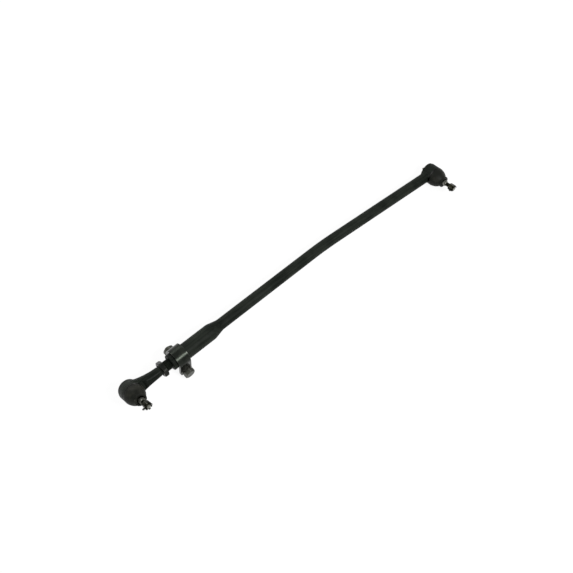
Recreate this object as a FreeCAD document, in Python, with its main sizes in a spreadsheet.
"""Steering drag link with an adjustable end.

A forged bar has a gentle bend, a ball socket at one end and an enlarged, tapped and slotted mouth at
the other. A rod end with a second ball joint screws into the mouth, and a jam nut and a U-shaped clamp
hold it. Both joints have a half ball, a collar that tilts with it, a seat, a sprung pressure plate,
a closing plug, a grease fitting and a rubber boot.

Row frame, in millimetres: the origin is the ball centre of the fixed joint, +X points from the
adjustable joint to the fixed one and +Z is up, with the link lying on its clamp and its fixed socket.
Both studs point to the -Y side, and each is rolled up from level about the link.
"""
import FreeCAD, Part
import math
import os
import re

import Sketcher

doc = FreeCAD.newDocument("drag_link")

# Driving dimensions, one cell each. Angles are in degrees.
SIZES = {
    "link_length": 1016.0,       # ball centre to ball centre
    "bend_distance": 400.0,      # from the fixed ball centre to the bend, along the link
    "bend_offset": 19.0,         # how far the bend stands off the line of the ball centres
    "bend_radius": 1100.0,
    "bar_diameter": 28.6,
    "tube_diameter": 41.3,       # the enlarged end
    "tube_length": 125.0,        # from its mouth to the reducer
    "reducer_length": 28.0,
    "reducer_round": 14.0,       # radius of the rounding at each end of the reducer
    "socket_offset": 5.0,        # the bar's line to the fixed ball centre
    "thread_diameter": 27.0,
    "thread_clearance": 0.05,    # on the radius, for every thread that is drawn plain
    "mouth_chamfer": 2.0,
    "bore_depth": 88.0,
    "slot_width": 3.2,
    "slot_length": 56.0,
    "nut_distance": 82.5,        # adjustable ball centre to the jam nut
    "nut_height": 12.0,
    "nut_flats": 36.0,
    "nut_turn": 9.0,             # how far the jam nut stands past a flat
    "thread_showing": 16.5,      # from the jam nut to the mouth
    "thread_chamfer": 2.0,       # at the end of the shank
    "thread_engaged": 62.0,      # length of thread inside the mouth
    "adjuster_raise": 32.0,      # how far each stud is rolled up from level
    "fixed_raise": 12.0,
    "clamp_setback": 25.5,       # from the mouth to the middle of the clamp
    "clamp_width": 32.0,
    "strap_thickness": 6.5,
    "ear_reach": 17.0,           # the bolt's axis to the ears' ends
    "ear_round": 10.0,           # radius of the ears' corners
    "bolt_drop": 30.0,           # tube's axis to the clamp bolt's axis
    "bolt_diameter": 16.0,
    "bolt_flats": 24.0,          # of its head and its nut
    "bolt_turn": 9.0,            # how far head and nut stand past a flat
    "bolt_head_height": 10.0,
    "bolt_nut_height": 14.0,
    "bolt_hole_clearance": 0.5,
    "bolt_tip": 3.0,             # what shows of the bolt past its nut
    "bolt_chamfer": 1.5,         # at its tip
    "washer_diameter": 29.0,
    "washer_thickness": 3.0,
    "lock_washer_diameter": 25.5,
    "lock_washer_thickness": 3.5,
    "lock_washer_split": 2.0,
    "ball_radius": 16.5,
    "ball_clearance": 0.3,       # between the ball's pieces and what they swing in
    "ball_flat": 13.0,           # ball centre to the flat on the ball's back
    "collar_top": 12.0,          # ball centre to the end of the half-ball collar
    "stud_shank": 17.0,          # diameter in the collar
    "shank_clearance": 0.08,     # on the radius
    "stud_neck": 14.0,           # diameter of the neck
    "neck_end": 20.0,
    "taper_start": 36.0,
    "taper_end": 50.0,
    "taper_large": 17.4,
    "taper_ratio": 8.0,          # length for each unit of diameter
    "stud_thread": 11.0,
    "stud_tip": 80.0,
    "stud_chamfer": 1.0,         # at its tip and where the thread meets the taper
    "pin_hole": 3.2,
    "drum_radius": 26.0,
    "drum_back": 22.0,           # ball centre to the back of the socket
    "drum_front": 6.0,           # ball centre to the shoulder that the boot sits against
    "rear_band": 24.3,           # radius of the stepped back of the socket
    "rear_band_length": 4.5,
    "rear_round": 1.0,
    "front_round": 1.5,          # radii of the socket's rear and front edges
    "spigot_radius": 22.0,
    "spigot_front": 11.0,
    "socket_bore": 19.0,         # radius
    "mouth_lip": 1.5,            # thickness of the lip that holds the seat in
    "plug_radius": 20.0,
    "plug_thickness": 3.0,
    "rolled_lip": 1.0,
    "lip_overlap": 1.7,
    "seat_back": 2.0,
    "plate_rim": 8.5,
    "plate_hole": 8.0,
    "plate_play": 0.2,
    "spring_height": 2.3,
    "spring_thickness": 1.1,
    "spring_outer": 17.5,
    "spring_inner": 9.5,
    "relief_radius": 33.0,       # where the facing cut for the boot turns outwards, and how high it goes
    "relief_rise": 22.0,
    "fitting_shank": 3.0,
    "fitting_flats": 8.0,
    "fitting_hex": 6.0,
    "fitting_nose": 9.0,
    "nipple_ball": 3.1,          # radii of the fitting's nose, and the steps along it
    "nipple_waist": 2.2,
    "nipple_tip": 1.7,
    "nipple_step": 1.4,
    "boot_radius": 26.2,
    "boot_wall": 2.0,
    "boot_bulge": 46.0,          # radius of the boot's curve, seen from the side
    "boot_base": 5.0,
    "boot_lip_radius": 15.6,
    "boot_lip_length": 4.5,
    "boot_end": 43.0,
    "boot_gap": 0.3,             # between the boot's lip and the stud
    "boot_rounding": 1.0,        # of its lip, and the step of its shoulder over the ring
    "boot_funnel": 2.2,          # how far the lip's mouth opens out
    "ring_depth": 1.2,
    "ring_width": 2.6,
    "castle_flats": 17.0,
    "castle_distance": 63.0,     # ball centre to the castle nut
    "castle_height": 15.0,
    "castle_slot": 3.2,
    "castle_slot_depth": 5.0,
    "castle_slots": 3,           # each goes right across
    "cotter_diameter": 2.6,
    "cotter_gap": 0.12,
    "cotter_rest": 0.2,          # between the pin and the bottom of its slot
    "cotter_bend": 1.8,
    "cotter_leg": 3.5,
    "cotter_eye": 1.9,
    "arm_root": 12.0,            # places of the rod end's four sections, from the ball centre
    "arm_flare": 29.0,
    "arm_middle": 50.0,
    "arm_end": 78.0,
    "arm_root_width": 27.0,
    "arm_root_height": 47.0,
    "arm_root_shift": 4.5,
    "arm_flare_width": 26.5,
    "arm_flare_height": 35.0,
    "arm_flare_shift": 3.0,
    "arm_middle_width": 25.5,
    "arm_middle_height": 27.0,
    "arm_middle_shift": 1.0,
    "arm_corner": 0.29,          # share of a section's width that its corners take
    "neck_start": 65.0,
    "neck_diameter": 23.0,
}

# Lengths and angles that follow from the driving ones.
DERIVED = {
    "run_angle": "atan(bend_offset / (link_length - bend_distance))",
    "end_angle": "atan((bend_offset - socket_offset) / bend_distance)",
    "mouth": "nut_distance + nut_height + thread_showing",
    "reducer_start": "mouth + tube_length",
    "reducer_end": "mouth + tube_length + reducer_length",
    "tangent": "bend_radius * tan((run_angle + end_angle) / 2)",
    "tapped_radius": "thread_diameter / 2 + thread_clearance",
    "clamp_distance": "mouth + clamp_setback",
    "ear_face": "tube_diameter / 2 + strap_thickness",
    "seat_radius": "ball_radius + ball_clearance",
    "seat_front": "spigot_front - mouth_lip",
    "mouth_radius": "sqrt(seat_radius ^ 2 - seat_front ^ 2) + ball_clearance / 2",
    "plug_face": "drum_back - rolled_lip",
    "plug_seat": "plug_face - plug_thickness",
    "plate_back": "plug_seat - spring_height",
    "taper_small": "taper_large - (taper_end - taper_start) / taper_ratio",
    "taper_at_lip": "taper_large - (boot_end - boot_lip_length - taper_start) / taper_ratio",
    "boot_hole": "taper_at_lip / 2 + boot_gap",
    "boot_seat": "drum_front + ball_clearance",
    "pin_height": "castle_distance + castle_height - castle_slot_depth + cotter_diameter / 2"
                  " + cotter_rest",
    "cotter_line": "cotter_gap / 2",
}

# Where each group of pieces stands. In a socket's frame +Z runs along the stud.
FRAMES = {
    "row": "placement(vector(0; 0; 0); rotation(0; 0; 0))",
    "fixed": "placement(vector(0; 0; 0); rotation(0; 0; 90 - fixed_raise))",
    "adjuster": "placement(vector(-link_length; 0; 0); rotation(run_angle; 0; 90 - adjuster_raise))",
    "rod": "placement(vector(-link_length; 0; 0); rotation(run_angle; 0; -adjuster_raise))",
    "jam": "placement(vector(-link_length + nut_distance * cos(run_angle);"
           " nut_distance * sin(run_angle); 0); rotation(run_angle; 90; 0))",
    "clamp": "placement(vector(-link_length + clamp_distance * cos(run_angle);"
             " clamp_distance * sin(run_angle); 0); rotation(run_angle; 0; -90))",
    "bolt": "placement(vector(-link_length + clamp_distance * cos(run_angle);"
            " clamp_distance * sin(run_angle); -bolt_drop); rotation(run_angle; 0; -90))",
}
WHOLE_TURN = 360

# Shares of a hexagon's flats: where its corners start to turn down, and how far out that goes.
CHAMFER_START = 0.49
CHAMFER_REACH = 0.2

# How far, in millimetres, an edge may lie from the place where it is looked for.
NEAR = 0.1


def fill_sheet():
    """Puts each driving dimension in a cell of its own, named by its alias."""
    sheet = doc.addObject("Spreadsheet::Sheet", "Sizes")
    for row, (name, size) in enumerate(SIZES.items(), start=1):
        sheet.set(f"A{row}", name)
        sheet.set(f"B{row}", str(size))
        sheet.setAlias(f"B{row}", name)
    doc.recompute()
    return sheet


sheet = fill_sheet()


def bind(text):
    """An expression on the sheet, from one that names its sizes plainly."""
    def swap(match):
        word = match.group(0)
        if word in DERIVED:
            return "(" + bind(DERIVED[word]) + ")"
        return "Sizes." + word if word in SIZES else word
    return re.sub(r"[a-z_]+", swap, text)


def number(text):
    """What an expression comes to now."""
    found = sheet.evalExpression(bind(text).replace("Sizes.", ""))
    return float(getattr(found, "Value", found))


def new_body(label, frame):
    """An empty sub-part in one of the frames."""
    body = doc.addObject("PartDesign::Body", label)
    body.Label = label
    body.setExpression("Placement", bind(FRAMES[frame]))
    return body


def new_sketch(body, plane, offset=None):
    """A sketch on one of the sub-part's own planes, moved and turned by the offset."""
    sketch = body.newObject("Sketcher::SketchObject", body.Label + "_sketch")
    base = [feature for feature in body.Origin.OriginFeatures if feature.Role == plane][0]
    sketch.AttachmentSupport = [(base, "")]
    sketch.MapMode = "FlatFace"
    if offset:
        sketch.setExpression("AttachmentOffset", bind(offset))
    return sketch


def hold(sketch, constraint, text):
    """Adds a constraint whose size follows an expression."""
    index = sketch.addConstraint(constraint)
    sketch.setExpression(f"Constraints[{index}]", bind(text))


def hold_point(sketch, geometry, end, x, y):
    """Ties one end of a line or arc to a place."""
    hold(sketch, Sketcher.Constraint("DistanceX", -1, 1, geometry, end, number(x)), x)
    hold(sketch, Sketcher.Constraint("DistanceY", -1, 1, geometry, end, number(y)), y)


def arc_between(start, end, radius, centre_side):
    """The short arc from start to end. Its centre lies on the left or right of the way."""
    chord = end - start
    left = FreeCAD.Vector(-chord.y, chord.x, 0).normalize()
    reach = math.sqrt(max(radius ** 2 - (chord.Length / 2) ** 2, 0.0))
    turn = 1 if centre_side == "left" else -1
    centre = (start + end) * 0.5 + left * reach * turn
    circle = Part.Circle(centre, FreeCAD.Vector(0, 0, 1), radius)
    first, last = (start, end) if turn == 1 else (end, start)
    return Part.ArcOfCircle(circle, circle.parameter(first), circle.parameter(last))


def draw(sketch, corners, closed=True):
    """Draws a chain of lines and arcs through corners.

    A corner is (x, y), or (x, y, radius, centre side) where an arc leads up to it. Every size is an
    expression on the driving dimensions.
    """
    places = [FreeCAD.Vector(number(corner[0]), number(corner[1]), 0) for corner in corners]
    steps = range(len(corners)) if closed else range(1, len(corners))
    before = None
    first = None
    for step in steps:
        corner = corners[step]
        start = places[step - 1]
        end = places[step]
        if len(corner) == 2:
            index = sketch.addGeometry(Part.LineSegment(start, end), False)
            tail, head = 1, 2
        else:
            arc = arc_between(start, end, number(corner[2]), corner[3])
            index = sketch.addGeometry(arc, False)
            tail, head = (1, 2) if corner[3] == "left" else (2, 1)
            hold(sketch, Sketcher.Constraint("Radius", index, number(corner[2])), corner[2])
        hold_point(sketch, index, head, corner[0], corner[1])
        if before:
            sketch.addConstraint(Sketcher.Constraint("Coincident", *before, index, tail))
        else:
            first = (index, tail)
        before = (index, head)
    if closed:
        sketch.addConstraint(Sketcher.Constraint("Coincident", *before, *first))
    else:
        hold_point(sketch, *first, corners[0][0], corners[0][1])
    return sketch


def draw_circle(sketch, x, y, radius):
    centre = FreeCAD.Vector(number(x), number(y), 0)
    round_line = Part.Circle(centre, FreeCAD.Vector(0, 0, 1), number(radius))
    index = sketch.addGeometry(round_line, False)
    hold(sketch, Sketcher.Constraint("Radius", index, number(radius)), radius)
    hold_point(sketch, index, 3, x, y)
    return sketch


def draw_hexagon(sketch, flats):
    """A hexagon about the origin with a flat across +X."""
    corners = []
    for corner in range(6):
        angle = 30 + 60 * corner
        corners.append((f"{flats} / sqrt(3) * cos({angle})", f"{flats} / sqrt(3) * sin({angle})"))
    return draw(sketch, corners)


def turn(body, corners, plane="XZ_Plane", offset=None, axis="V_Axis", cut=False):
    """Revolves a profile a whole turn, as new metal or as a cut."""
    sketch = draw(new_sketch(body, plane, offset), corners)
    kind = "PartDesign::Groove" if cut else "PartDesign::Revolution"
    feature = body.newObject(kind, body.Label + "_turn")
    feature.Profile = (sketch, [""])
    feature.ReferenceAxis = (sketch, [axis])
    feature.Angle = WHOLE_TURN
    return feature


def pad(body, sketch, length, both_ways=False):
    feature = body.newObject("PartDesign::Pad", body.Label + "_pad")
    feature.Profile = (sketch, [""])
    feature.setExpression("Length", bind(length))
    feature.Midplane = both_ways
    return feature


def pocket(body, sketch, length, both_ways=False):
    """Cuts against the sketch's normal, or both ways."""
    feature = body.newObject("PartDesign::Pocket", body.Label + "_pocket")
    feature.Profile = (sketch, [""])
    feature.setExpression("Length", bind(length))
    feature.Midplane = both_ways
    return feature


def edges_where(feature, test):
    """Names of the edges whose middle and direction pass a test."""
    names = []
    for index, edge in enumerate(feature.Shape.Edges, start=1):
        along = edge.Vertexes[-1].Point - edge.Vertexes[0].Point
        if test(edge, edge.CenterOfMass, along):
            names.append(f"Edge{index}")
    return names


def socket_outside():
    """Half section of a ball socket's outside, from its back to its front."""
    return [
        ("0", "-drum_back"),
        ("rear_band - rear_round", "-drum_back"),
        ("rear_band", "-drum_back + rear_round", "rear_round", "left"),
        ("rear_band", "-drum_back + rear_band_length"),
        ("drum_radius", "-drum_back + rear_band_length + drum_radius - rear_band"),
        ("drum_radius", "drum_front - front_round"),
        ("drum_radius - front_round", "drum_front", "front_round", "left"),
        ("spigot_radius", "drum_front"),
        ("spigot_radius", "spigot_front"),
        ("0", "spigot_front"),
    ]


def socket_cavity():
    """Half section of what is cut out of a ball socket, from its back to its mouth."""
    return [
        ("0", "-drum_back - rolled_lip"),
        ("plug_radius - lip_overlap", "-drum_back - rolled_lip"),
        ("plug_radius - lip_overlap", "-plug_face"),
        ("plug_radius", "-plug_face"),
        ("plug_radius", "-plug_seat"),
        ("socket_bore", "-plug_seat"),
        ("socket_bore", "seat_front"),
        ("mouth_radius", "seat_front"),
        ("mouth_radius + 2 * mouth_lip", "spigot_front + mouth_lip"),
        ("0", "spigot_front + mouth_lip"),
    ]


def boot_relief():
    """Half section of the facing cut that clears the boot where the bar or arm joins a socket."""
    return [
        ("spigot_radius", "drum_front"),
        ("relief_radius", "drum_front"),
        ("relief_radius + relief_rise", "drum_front + relief_rise"),
        ("spigot_radius", "drum_front + relief_rise"),
    ]


# A sketch on the XY plane with one of these offsets reads as radius and height along the stud.
ROD_SOCKET = "placement(vector(0; 0; 0); rotation(0; 0; 180))"
BAR_SOCKET = "placement(vector(0; 0; 0); rotation(0; 0; 180 - fixed_raise))"


def on_run(distance):
    """A place on the straight run, at a distance from the adjustable ball centre."""
    angle = math.radians(number("run_angle"))
    return FreeCAD.Vector(-number("link_length") + distance * math.cos(angle),
                          distance * math.sin(angle), 0)


def fillet(body, base, edges, radius, label):
    """Rounds some edges of a feature."""
    rounded = body.newObject("PartDesign::Fillet", label)
    rounded.Base = (base, edges)
    rounded.setExpression("Radius", bind(radius))
    return rounded


def soften_reducer(body, tube):
    """Rounds the reducer's two shoulders."""
    doc.recompute()
    shoulders = [(on_run(number("reducer_start")), number("tube_diameter / 2")),
                 (on_run(number("reducer_end")), number("bar_diameter / 2"))]

    def is_shoulder(edge, middle, along):
        return edge.Curve.TypeId == "Part::GeomCircle" and any(
            middle.distanceToPoint(centre) < NEAR and abs(edge.Curve.Radius - radius) < NEAR
            for centre, radius in shoulders)
    fillet(body, tube, edges_where(tube, is_shoulder), "reducer_round", "shoulders")


def make_link_bar():
    """The bar: ball socket, bent bar, reducer, and the tapped and slotted end."""
    body = new_body("link_bar", "row")
    turn(body, socket_outside(), "XY_Plane", BAR_SOCKET)

    path = draw(new_sketch(body, "XY_Plane"), [
        ("-link_length + reducer_end * cos(run_angle)", "reducer_end * sin(run_angle)"),
        ("-bend_distance - tangent * cos(run_angle)", "bend_offset - tangent * sin(run_angle)"),
        ("-bend_distance + tangent * cos(end_angle)", "bend_offset - tangent * sin(end_angle)",
         "bend_radius", "right"),
        ("-socket_bore", "socket_offset + socket_bore * tan(end_angle)"),
    ], closed=False)
    section = draw_circle(new_sketch(
        body, "YZ_Plane",
        "placement(vector(reducer_end * sin(run_angle); 0;"
        " -link_length + reducer_end * cos(run_angle)); rotation(0; run_angle; 0))",
    ), "0", "0", "bar_diameter / 2")
    bar = body.newObject("PartDesign::AdditivePipe", "bar_sweep")
    bar.Profile = (section, [""])
    bar.Spine = (path, ["Edge1", "Edge2", "Edge3"])

    run = "placement(vector(-link_length; 0; 0); rotation(run_angle; 0; 0))"
    tube = turn(body, [
        ("mouth", "0"),
        ("mouth", "tube_diameter / 2 - mouth_chamfer / 2"),
        ("mouth + mouth_chamfer / 2", "tube_diameter / 2"),
        ("reducer_start", "tube_diameter / 2"),
        ("reducer_end", "bar_diameter / 2"),
        ("reducer_end", "0"),
    ], "XY_Plane", run, "H_Axis")
    soften_reducer(body, tube)

    turn(body, boot_relief(), "XY_Plane", BAR_SOCKET, cut=True)
    turn(body, socket_cavity(), "XY_Plane", BAR_SOCKET, cut=True)
    turn(body, [
        ("mouth - mouth_chamfer", "0"),
        ("mouth - mouth_chamfer", "tapped_radius + 2 * mouth_chamfer"),
        ("mouth + mouth_chamfer", "tapped_radius"),
        ("mouth + bore_depth", "tapped_radius"),
        ("mouth + bore_depth + tapped_radius / sqrt(3)", "0"),
    ], "XY_Plane", run, "H_Axis", cut=True)

    slot = draw(new_sketch(body, "XY_Plane", run), [
        ("mouth - mouth_chamfer", "-slot_width / 2"),
        ("mouth + slot_length", "-slot_width / 2"),
        ("mouth + slot_length", "slot_width / 2"),
        ("mouth - mouth_chamfer", "slot_width / 2"),
    ])
    pocket(body, slot, "tube_diameter")
    slot_end = new_sketch(body, "XY_Plane", run)
    draw_circle(slot_end, "mouth + slot_length", "0", "slot_width")
    pocket(body, slot_end, "tube_diameter")


def arm_section(body, place, width, height, shift):
    """An eight-sided section across the rod end's arm."""
    side = f"{width} / 2"
    top = f"{height} / 2"
    cut = f"{width} * arm_corner"
    corners = []
    for right, up in ((1, 1), (-1, 1), (-1, -1), (1, -1)):
        by_side = (f"{right} * {side} + {shift}", f"{up} * ({top} - {cut})")
        by_top = (f"{right} * ({side} - {cut}) + {shift}", f"{up} * {top}")
        corners += [by_side, by_top] if right == up else [by_top, by_side]
    offset = f"placement(vector(0; 0; {place}); rotation(0; 0; 0))"
    return draw(new_sketch(body, "YZ_Plane", offset), corners)


def make_rod_end():
    """The forging that screws into the bar: ball socket, tapering arm, neck and thread."""
    body = new_body("rod_end_forging", "rod")
    turn(body, socket_outside(), "XY_Plane", ROD_SOCKET)
    root = arm_section(body, "arm_root", "arm_root_width", "arm_root_height", "arm_root_shift")
    flare = arm_section(body, "arm_flare", "arm_flare_width", "arm_flare_height",
                        "arm_flare_shift")
    middle = arm_section(body, "arm_middle", "arm_middle_width", "arm_middle_height",
                         "arm_middle_shift")
    end = arm_section(body, "arm_end", "neck_diameter", "neck_diameter", "0")
    arm = body.newObject("PartDesign::AdditiveLoft", "arm_loft")
    arm.Profile = (root, [""])
    arm.Sections = [(flare, [""]), (middle, [""]), (end, [""])]
    turn(body, [
        ("arm_middle", "0"),
        ("neck_start", "neck_diameter / 2"),
        ("nut_distance - (thread_diameter - neck_diameter) / 2", "neck_diameter / 2"),
        ("nut_distance", "thread_diameter / 2"),
        ("mouth + thread_engaged - thread_chamfer", "thread_diameter / 2"),
        ("mouth + thread_engaged", "thread_diameter / 2 - thread_chamfer"),
        ("mouth + thread_engaged", "0"),
    ], "XY_Plane", None, "H_Axis")
    turn(body, boot_relief(), "XY_Plane", ROD_SOCKET, cut=True)
    turn(body, socket_cavity(), "XY_Plane", ROD_SOCKET, cut=True)


def make_hex_piece(label, frame, flats, low, high, hole, turned="0"):
    """A nut: a hexagon along +Z with its corners turned down at both faces, and a plain bore."""
    body = new_body(label, frame)
    sketch = new_sketch(body, "XY_Plane", f"placement(vector(0; 0; {low}); rotation({turned}; 0; 0))")
    pad(body, draw_hexagon(sketch, flats), f"({high}) - ({low})")
    chamfer_corners(body, flats, high, 1)
    chamfer_corners(body, flats, low, -1)
    turn(body, ring(f"{low} - {flats}", f"{high} + {flats}", "0", hole), cut=True)
    return body


def chamfer_corners(body, flats, face, way):
    """Turns a hexagon's corners down at 30 degrees, at the face that looks along way."""
    start = f"{flats} * {CHAMFER_START}"
    reach = f"{flats} * {CHAMFER_REACH}"
    turn(body, [
        (start, face),
        (f"{start} + {reach}", f"{face} - {way} * {reach} / sqrt(3)"),
        (f"{start} + {reach}", f"{face} + {way} * {reach} / sqrt(3)"),
        (start, f"{face} + {way} * {reach} / sqrt(3)"),
    ], cut=True)


def make_clamp_strap():
    """The U-shaped strap: half round over the tube, with two flat ears past it."""
    body = new_body("clamp_strap", "clamp")
    ear_end = "bolt_drop + ear_reach"
    inner = "tube_diameter / 2"
    sketch = draw(new_sketch(body, "YZ_Plane"), [
        (ear_end, "ear_face"),
        ("0", "ear_face"),
        ("-ear_face", "0", "ear_face", "left"),
        ("0", "-ear_face", "ear_face", "left"),
        (ear_end, "-ear_face"),
        (ear_end, f"-{inner}"),
        ("0", f"-{inner}"),
        (f"-{inner}", "0", inner, "right"),
        ("0", inner, inner, "right"),
        (ear_end, inner),
    ])
    ears = pad(body, sketch, "clamp_width", both_ways=True)
    doc.recompute()
    end = number(ear_end)

    def is_ear_corner(edge, middle, along):
        return abs(middle.y - end) < NEAR and abs(along.z) > abs(along.x)
    fillet(body, ears, edges_where(ears, is_ear_corner), "ear_round", "ear_corners")
    hole = draw_circle(new_sketch(body, "XY_Plane"), "0", "bolt_drop",
                       "bolt_diameter / 2 + bolt_hole_clearance")
    pocket(body, hole, "4 * ear_face", both_ways=True)


def ring(low, high, inner, outer):
    """Half section of a plain ring."""
    return [(inner, low), (outer, low), (outer, high), (inner, high)]


def make_clamp_bolt():
    """The clamp's bolt. Its head is on the stud side."""
    head_seat = "-ear_face - washer_thickness - lock_washer_thickness"
    head_back = f"{head_seat} - bolt_head_height"
    tip = "ear_face + washer_thickness + bolt_nut_height + bolt_tip"
    body = new_body("clamp_bolt", "bolt")
    sketch = new_sketch(body, "XY_Plane",
                        f"placement(vector(0; 0; {head_back}); rotation(bolt_turn; 0; 0))")
    pad(body, draw_hexagon(sketch, "bolt_flats"), "bolt_head_height")
    chamfer_corners(body, "bolt_flats", head_back, -1)
    turn(body, [
        ("0", head_seat),
        ("bolt_diameter / 2", head_seat),
        ("bolt_diameter / 2", f"{tip} - bolt_chamfer"),
        ("bolt_diameter / 2 - bolt_chamfer", tip),
        ("0", tip),
    ])


def make_clamp_washer(label, low, high, outer):
    body = new_body(label, "bolt")
    turn(body, ring(low, high, "bolt_diameter / 2 + bolt_hole_clearance", f"{outer} / 2"))
    return body


def make_clamp_hardware():
    """Two plain washers, the nut, and a split lock washer under the bolt's head."""
    nut_seat = "ear_face + washer_thickness"
    make_clamp_washer("clamp_head_washer", f"-({nut_seat})", "-ear_face", "washer_diameter")
    make_clamp_washer("clamp_nut_washer", "ear_face", nut_seat, "washer_diameter")
    make_hex_piece("clamp_nut", "bolt", "bolt_flats", nut_seat, f"{nut_seat} + bolt_nut_height",
                   "bolt_diameter / 2 + thread_clearance", "bolt_turn")
    high = f"-({nut_seat})"
    split_washer = make_clamp_washer("clamp_lock_washer", f"{high} - lock_washer_thickness", high,
                                     "lock_washer_diameter")
    gap = draw(new_sketch(split_washer, "XY_Plane",
                          f"placement(vector(0; 0; {high}); rotation(0; 0; 0))"), [
        ("0", "-lock_washer_split / 2"),
        ("lock_washer_diameter", "-lock_washer_split / 2"),
        ("lock_washer_diameter", "lock_washer_split / 2"),
        ("0", "lock_washer_split / 2"),
    ])
    pocket(split_washer, gap, "2 * lock_washer_thickness")


def make_seat(side):
    """The hardened ring in the socket that the collar tilts in."""
    body = new_body(side + "_bearing_seat", side)
    turn(body, [
        ("socket_bore", "-seat_back"),
        ("socket_bore", "seat_front"),
        ("sqrt(seat_radius ^ 2 - seat_front ^ 2)", "seat_front"),
        ("seat_radius", "0", "seat_radius", "right"),
        ("sqrt(seat_radius ^ 2 - seat_back ^ 2)", "-seat_back", "seat_radius", "right"),
    ])


def make_collar(side):
    """The half-ball collar round the stud's shank. It tilts with the stud, which turns in it."""
    body = new_body(side + "_ball_collar", side)
    bore = "stud_shank / 2 + shank_clearance"
    low = "ball_clearance / 2"
    turn(body, [
        (bore, low),
        (f"sqrt(ball_radius ^ 2 - ({low}) ^ 2)", low),
        ("sqrt(ball_radius ^ 2 - collar_top ^ 2)", "collar_top", "ball_radius", "left"),
        (bore, "collar_top"),
    ])


def make_stud(side):
    """The tapered stud with its half ball, neck, taper, thread and cotter hole."""
    body = new_body(side + "_ball_stud", side)
    under = "-ball_clearance / 2"
    neck_start = "collar_top + ball_clearance"
    turn(body, [
        ("0", "-ball_flat"),
        ("sqrt(ball_radius ^ 2 - ball_flat ^ 2)", "-ball_flat"),
        (f"sqrt(ball_radius ^ 2 - ({under}) ^ 2)", under, "ball_radius", "left"),
        ("stud_shank / 2", under),
        ("stud_shank / 2", neck_start),
        ("stud_neck / 2", f"{neck_start} + (stud_shank - stud_neck) / 2"),
        ("stud_neck / 2", "neck_end"),
        ("taper_large / 2", "taper_start"),
        ("taper_small / 2", "taper_end"),
        ("stud_thread / 2 + stud_chamfer", "taper_end"),
        ("stud_thread / 2", "taper_end + stud_chamfer"),
        ("stud_thread / 2", "stud_tip - stud_chamfer"),
        ("stud_thread / 2 - stud_chamfer", "stud_tip"),
        ("0", "stud_tip"),
    ])
    hole = draw_circle(new_sketch(body, "YZ_Plane"), "0", "pin_height", "pin_hole / 2")
    pocket(body, hole, "2 * stud_thread", both_ways=True)


def make_pressure_plate(side):
    """The sprung cup behind the half ball."""
    body = new_body(side + "_pressure_plate", side)
    turn(body, [
        ("plate_hole", "-plate_back"),
        ("socket_bore - plate_play", "-plate_back"),
        ("socket_bore - plate_play", "-plate_rim"),
        ("sqrt(seat_radius ^ 2 - plate_rim ^ 2)", "-plate_rim"),
        ("plate_hole", "-sqrt(seat_radius ^ 2 - plate_hole ^ 2)", "seat_radius", "right"),
    ])


def make_spring(side):
    """The coned disc spring between the plug and the pressure plate."""
    body = new_body(side + "_preload_spring", side)
    turn(body, [
        ("spring_inner", "-plate_back - spring_thickness"),
        ("spring_outer", "-plug_seat"),
        ("spring_outer", "-plug_seat + spring_thickness"),
        ("spring_inner", "-plate_back"),
    ])


def make_plug(side):
    """The disc that closes the socket, held by the socket's rolled lip."""
    body = new_body(side + "_closing_plug", side)
    turn(body, ring("-plug_face", "-plug_seat", "fitting_shank", "plug_radius"))


def make_grease_fitting(side):
    body = new_body(side + "_grease_fitting", side)
    collar = "-plug_face - fitting_hex"
    nose = f"{collar} - fitting_nose"
    sketch = new_sketch(body, "XY_Plane", f"placement(vector(0; 0; {collar}); rotation(0; 0; 0))")
    pad(body, draw_hexagon(sketch, "fitting_flats"), "fitting_hex")
    chamfer_corners(body, "fitting_flats", collar, -1)
    turn(body, ring("-plug_face", "-plug_seat", "0", "fitting_shank"))
    turn(body, [
        ("0", collar),
        ("0", nose),
        ("nipple_tip", nose),
        ("nipple_ball", f"{nose} + nipple_step"),
        ("nipple_waist", f"{nose} + 2 * nipple_step"),
        ("nipple_waist", f"{nose} + 3 * nipple_step"),
        ("nipple_ball", f"{nose} + 4 * nipple_step"),
        ("nipple_ball", collar),
    ])


def make_boot(side):
    """The rubber boot: a bead on the socket's spigot, a bell and a thick lip round the stud."""
    body = new_body(side + "_boot", side)
    bead_top = "boot_seat + boot_base"
    lip = "boot_end - boot_lip_length"
    turn(body, [
        ("spigot_radius", "boot_seat"),
        ("boot_radius - ring_depth", "boot_seat"),
        ("boot_radius - ring_depth", f"{bead_top} - boot_rounding"),
        ("boot_radius", bead_top),
        ("boot_lip_radius", lip, "boot_bulge", "left"),
        ("boot_lip_radius", "boot_end - boot_rounding"),
        ("boot_lip_radius - boot_rounding", "boot_end", "boot_rounding", "left"),
        ("boot_hole + boot_funnel", "boot_end"),
        ("boot_hole", "boot_end - boot_funnel"),
        ("boot_hole", lip),
        ("boot_lip_radius - boot_wall", f"{lip} - boot_wall / 2"),
        ("boot_radius - boot_wall", bead_top, "boot_bulge - boot_wall", "right"),
        ("spigot_radius", f"{bead_top} - boot_wall / 2"),
    ])


def make_boot_ring(side):
    """The flat steel ring that holds the boot on the spigot."""
    body = new_body(side + "_boot_ring", side)
    low = "boot_seat + (boot_base - boot_rounding - ring_width) / 2"
    turn(body, ring(low, f"{low} + ring_width", "boot_radius - ring_depth", "boot_radius"))


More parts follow.
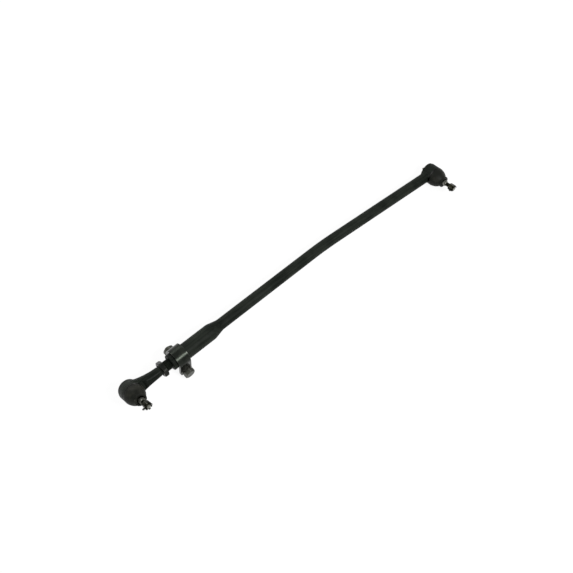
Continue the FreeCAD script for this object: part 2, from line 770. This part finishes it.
def make_castle_nut(side):
    """The slotted nut: a hexagon with six slots in its far face."""
    top = "castle_distance + castle_height"
    body = make_hex_piece(side + "_castle_nut", side, "castle_flats", "castle_distance", top,
                          "stud_thread / 2 + thread_clearance")
    slot = draw(new_sketch(body, "XY_Plane", f"placement(vector(0; 0; {top}); rotation(0; 0; 0))"), [
        ("-castle_flats", "-castle_slot / 2"),
        ("castle_flats", "-castle_slot / 2"),
        ("castle_flats", "castle_slot / 2"),
        ("-castle_flats", "castle_slot / 2"),
    ])
    first = pocket(body, slot, "castle_slot_depth")
    around = body.newObject("PartDesign::PolarPattern", "slots")
    around.Originals = [first]
    around.Axis = (slot, ["N_Axis"])
    around.Angle = WHOLE_TURN
    around.setExpression("Occurrences", bind("castle_slots"))
    body.Tip = around


def make_cotter_pin(side):
    """The split pin: one half-round wire, folded at the eye and spread at its ends."""
    body = new_body(side + "_cotter_pin", side)
    out = "castle_flats / 2 + cotter_diameter / 2 + cotter_gap"
    near = f"{out} - cotter_bend"
    neck = "-castle_flats / 2 - cotter_gap"
    rise = "pin_height + cotter_line"
    fall = "pin_height - cotter_line"
    spread = "sqrt(4 * cotter_eye ^ 2 - (cotter_eye + cotter_line) ^ 2)"
    eye = f"{neck} - {spread}"
    join = "(cotter_eye + cotter_line) / 2"
    path = draw(new_sketch(body, "XZ_Plane"), [
        (out, f"{rise} + cotter_bend + cotter_leg"),
        (out, f"{rise} + cotter_bend"),
        (near, rise, "cotter_bend", "right"),
        (neck, rise),
        (f"{eye} + {spread} / 2", f"pin_height + {join}", "cotter_eye", "right"),
        (eye, "pin_height + cotter_eye", "cotter_eye", "left"),
        (f"{eye} - cotter_eye", "pin_height", "cotter_eye", "left"),
        (eye, "pin_height - cotter_eye", "cotter_eye", "left"),
        (f"{eye} + {spread} / 2", f"pin_height - {join}", "cotter_eye", "left"),
        (neck, fall, "cotter_eye", "right"),
        (near, fall),
        (out, f"{fall} - cotter_bend", "cotter_bend", "right"),
        (out, f"{fall} - cotter_bend - cotter_leg"),
    ], closed=False)
    round_side = "cotter_diameter / 2"
    section = draw(new_sketch(
        body, "XY_Plane",
        f"placement(vector({out}; 0; {rise} + cotter_bend + cotter_leg); rotation(0; 0; 0))",
    ), [
        ("0", round_side),
        (f"-{round_side}", "0", round_side, "left"),
        ("0", f"-{round_side}", round_side, "left"),
    ])
    wire = body.newObject("PartDesign::AdditivePipe", "pin_sweep")
    wire.Profile = (section, [""])
    wire.Spine = (path, [f"Edge{index + 1}" for index in range(path.GeometryCount)])


def make_joint(side):
    """Every piece of one ball joint, in its own socket's frame."""
    for make in (make_seat, make_collar, make_stud, make_pressure_plate, make_spring, make_plug,
                 make_grease_fitting, make_boot, make_boot_ring, make_castle_nut, make_cotter_pin):
        make(side)


def make_all():
    make_link_bar()
    make_rod_end()
    make_hex_piece("jam_nut", "jam", "nut_flats", "0", "nut_height",
                   "thread_diameter / 2 + thread_clearance", "nut_turn")
    make_clamp_strap()
    make_clamp_bolt()
    make_clamp_hardware()
    make_joint("fixed")
    make_joint("adjuster")
    doc.recompute()


SMALLEST_CUT = 1e-6              # cubic millimetres


def check(bodies):
    """Stops on a failed feature, a cut that cuts nothing or a shape that isn't one closed solid."""
    faults = []
    for feature in doc.Objects:
        if "Invalid" in feature.State or "Error" in feature.State:
            faults.append(f"{feature.Label}: {feature.State}")
    for body in bodies:
        for feature in body.Group:
            if feature.TypeId in ("PartDesign::Groove", "PartDesign::Pocket"):
                before = feature.BaseFeature.Shape
                if feature.Shape.isNull() or before.isNull():
                    faults.append(f"{feature.Label} has no shape")
                elif feature.Shape.Volume >= before.Volume - SMALLEST_CUT:
                    faults.append(f"{feature.Label} cuts nothing")
        shape = body.Shape
        if shape.isNull() or not shape.isValid() or len(shape.Solids) != 1:
            faults.append(f"{body.Label}: shape isn't one valid solid")
    if faults:
        raise RuntimeError("; ".join(faults))


def write(bodies):
    os.makedirs("parts", exist_ok=True)
    for body in bodies:
        body.Shape.exportStep(f"parts/{body.Label}.step")
        print(f"{body.Label}: {body.Shape.Volume / 1000:.2f} cubic centimetres")


make_all()
bodies = [item for item in doc.Objects if item.TypeId == "PartDesign::Body"]
check(bodies)
write(bodies)
